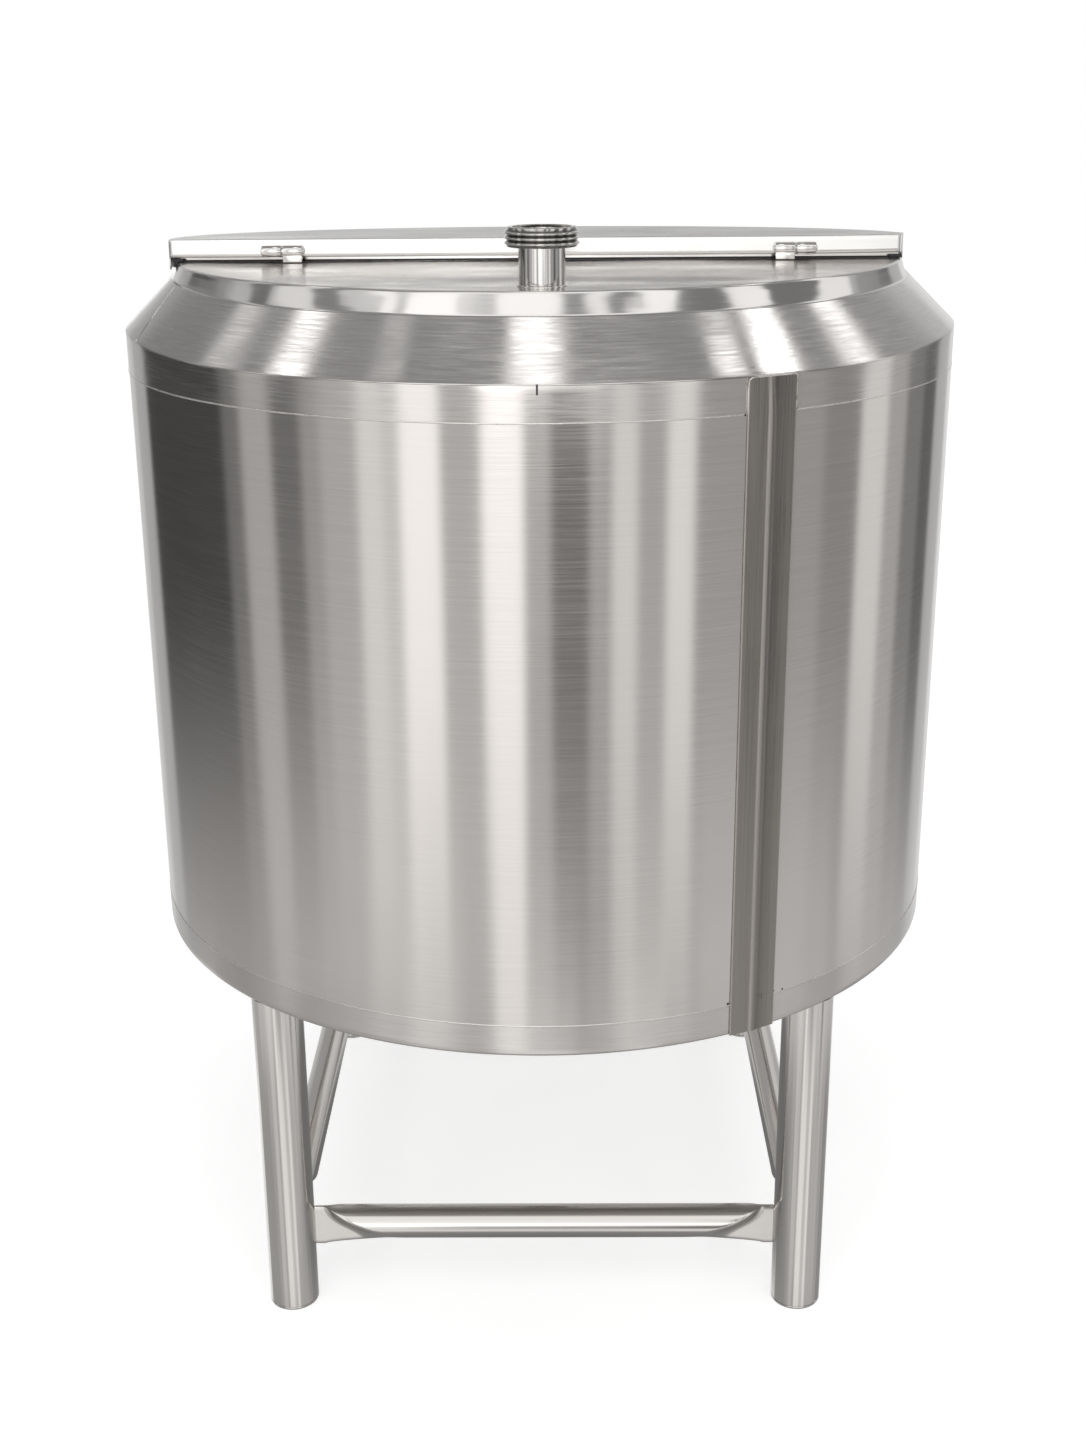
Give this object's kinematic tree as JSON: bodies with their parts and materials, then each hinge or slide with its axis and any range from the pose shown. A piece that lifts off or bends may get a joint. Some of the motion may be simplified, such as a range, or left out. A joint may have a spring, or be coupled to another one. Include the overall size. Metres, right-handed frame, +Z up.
{
  "type": "jacketed stainless steel vat with a half lid",
  "caption": "Upright round jacketed steel vat on braced tube legs, with a fixed half cover, a threaded top inlet and a hinged half lid.",
  "frame": {"origin": "on the floor under the tank's axis, at the bottom centre of its box", "axes": "+Z up along the tank's axis, -Y to the front where the fixed cover and the threaded inlet are, +X to the right seen from the front"},
  "size_m": [1, 1, 1.3115],
  "materials": {
    "brushed_shell": "fine brushing round the body, half bright",
    "band_steel": "ground and brushed round the body, duller than the shell",
    "strip_steel": "brushed upright, dull",
    "neck_steel": "bright, slightly wavy",
    "inside_steel": "smooth mill finish",
    "cover_steel": "satin sheet with shallow ripples",
    "lid_steel": "satin sheet",
    "polished_steel": "turned and polished",
    "leg_steel": "polished tube",
    "rail_steel": "polished tube with pressed ends",
    "seal_rubber": "matt black"
  },
  "bodies": {
    "tank": {"outer_shell": "brushed_shell", "upper_band": "band_steel", "lower_band": "band_steel", "seam_strip": "strip_steel", "shoulder_cone": "brushed_shell", "neck_ring": "neck_steel", "inner_wall": "inside_steel", "inner_bottom": "inside_steel", "underside_plate": "band_steel", "fixed_cover": "cover_steel", "cover_upstand": "cover_steel", "hinge_line_seal": "seal_rubber", "union_tube": "polished_steel", "union_collar": "polished_steel", "outlet_tube": "polished_steel", "outlet_collar": "polished_steel", "leg_front_left": "leg_steel", "leg_front_right": "leg_steel", "leg_rear_left": "leg_steel", "leg_rear_right": "leg_steel", "foot_front_left": "leg_steel", "foot_front_right": "leg_steel", "foot_rear_left": "leg_steel", "foot_rear_right": "leg_steel", "rail_front": "rail_steel", "rail_rear": "rail_steel", "rail_left": "rail_steel", "rail_right": "rail_steel", "hinge_left_fixed_knuckle": "polished_steel", "hinge_right_fixed_knuckle": "polished_steel", "hinge_left_pin": "polished_steel", "hinge_right_pin": "polished_steel"},
    "lid": {"lid_plate": "lid_steel", "lid_skirt": "lid_steel", "lid_front_flange": "lid_steel", "hinge_left_lid_knuckle": "polished_steel", "hinge_right_lid_knuckle": "polished_steel"}
  },
  "joints": [
    {"name": "lid_hinge", "type": "hinge", "parent": "tank", "child": "lid", "pos_m": [0, -0.0943, 1.2653], "axis": [1, 0, 0], "range_deg": [0, 165]}
  ]
}
